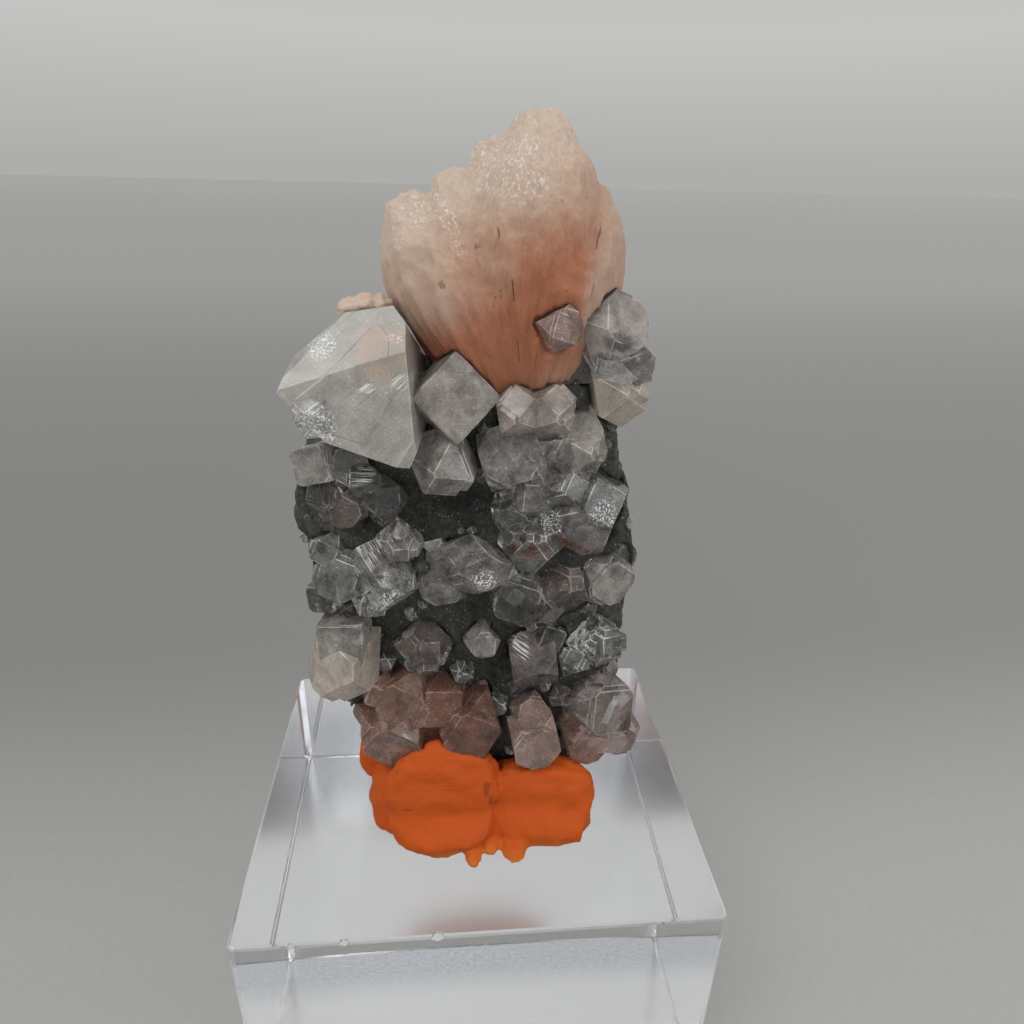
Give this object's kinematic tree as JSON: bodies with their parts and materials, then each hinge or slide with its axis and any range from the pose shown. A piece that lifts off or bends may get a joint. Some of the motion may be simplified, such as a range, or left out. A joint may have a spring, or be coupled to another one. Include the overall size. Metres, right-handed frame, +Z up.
{
  "type": "apophyllite cluster",
  "caption": "Clear to milky apophyllite crystals and a peach stilbite fan on dark basalt, standing in orange putty on a clear acrylic block.",
  "frame": {"origin": "middle of the acrylic block's bottom face", "axes": "+X to the right seen from the front, +Y from the crystal side to the bare rock side, +Z up"},
  "size_m": [0.06, 0.05, 0.123],
  "materials": {
    "acrylic_clear": "polished clear acrylic with small edge chips and light scratches",
    "putty_orange": "kneaded matt putty with finger ridges",
    "basalt_dark": "rough, grainy dark basalt with tiny sparkles",
    "stilbite_peach": "fibrous, silky peach, paler at the crown",
    "stilbite_cream": "grainy cream",
    "apophyllite_milky": "milky crystal with fine striation and pearly edges",
    "apophyllite_left_cubes": "frosted to clear crystal over dark rock",
    "apophyllite_striated": "grey crystal with bold striation",
    "apophyllite_lying": "clear crystal with a speckled end",
    "apophyllite_right": "clear to grey crystal with inner veils",
    "apophyllite_middle_right": "clear to brownish crystal",
    "apophyllite_upper_right": "clear crystal with dark inner patches",
    "apophyllite_on_fan": "pinkish clear crystal",
    "apophyllite_left_lower": "cream, pearly crystal",
    "apophyllite_lower_clear": "clear crystal with bright edges",
    "apophyllite_small_bright": "bright frosted crystal",
    "apophyllite_brown_prism": "brownish clear crystal with a glossy streaked top",
    "apophyllite_right_lower": "clear crystal with bright edges",
    "apophyllite_bottom_left": "brownish translucent crystal",
    "apophyllite_bottom_cube": "frosted pinkish grey crystal",
    "apophyllite_bottom_right": "grey translucent crystal, pinkish below"
  },
  "bodies": {
    "root": {"acrylic_block": "acrylic_clear", "putty": "putty_orange", "basalt_matrix": "basalt_dark", "stilbite_fan": "stilbite_peach", "stilbite_knob": "stilbite_cream", "apophyllite_milky": "apophyllite_milky", "apophyllite_left_cubes": "apophyllite_left_cubes", "apophyllite_striated": "apophyllite_striated", "apophyllite_lying": "apophyllite_lying", "apophyllite_right": "apophyllite_right", "apophyllite_middle_right": "apophyllite_middle_right", "apophyllite_upper_right": "apophyllite_upper_right", "apophyllite_on_fan": "apophyllite_on_fan", "apophyllite_left_lower": "apophyllite_left_lower", "apophyllite_lower_clear": "apophyllite_lower_clear", "apophyllite_small_bright": "apophyllite_small_bright", "apophyllite_brown_prism": "apophyllite_brown_prism", "apophyllite_right_lower": "apophyllite_right_lower", "apophyllite_bottom_left": "apophyllite_bottom_left", "apophyllite_bottom_cube": "apophyllite_bottom_cube", "apophyllite_bottom_right": "apophyllite_bottom_right"}
  },
  "joints": []
}
